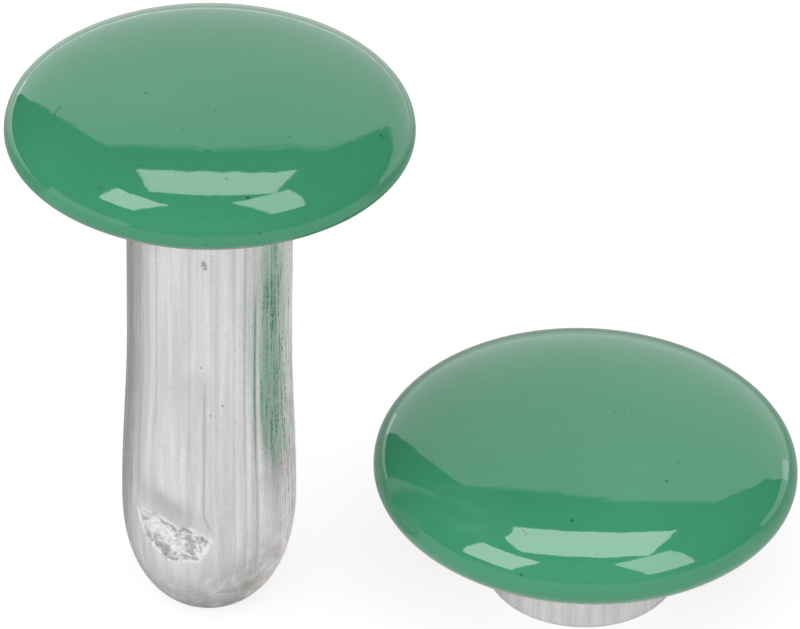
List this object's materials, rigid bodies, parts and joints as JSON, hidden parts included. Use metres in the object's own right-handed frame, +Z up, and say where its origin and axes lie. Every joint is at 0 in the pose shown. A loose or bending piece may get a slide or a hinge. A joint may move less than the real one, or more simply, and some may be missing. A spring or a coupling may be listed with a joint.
{
  "type": "double cap rivet",
  "caption": "Snap rivet in halves with domed sheet caps: the stud half's drawn closed post snaps into the socket half's open collar.",
  "frame": {"origin": "on the floor, at the centre of the pair's bounding box", "axes": "+Z up along both halves' axes, +X from the stud half to the socket half, +Y to the back"},
  "size_m": [0.0138, 0.0078, 0.0108],
  "materials": {
    "cap_paint": "glossy green enamel over sheet metal, bare at the rolled edge",
    "shank_metal": "soft bright drawn metal with lengthwise draw marks"
  },
  "bodies": {
    "root": {"stud_cap": "cap_paint", "stud_post": "shank_metal", "socket_cap": "cap_paint", "socket_collar": "shank_metal"}
  },
  "joints": []
}
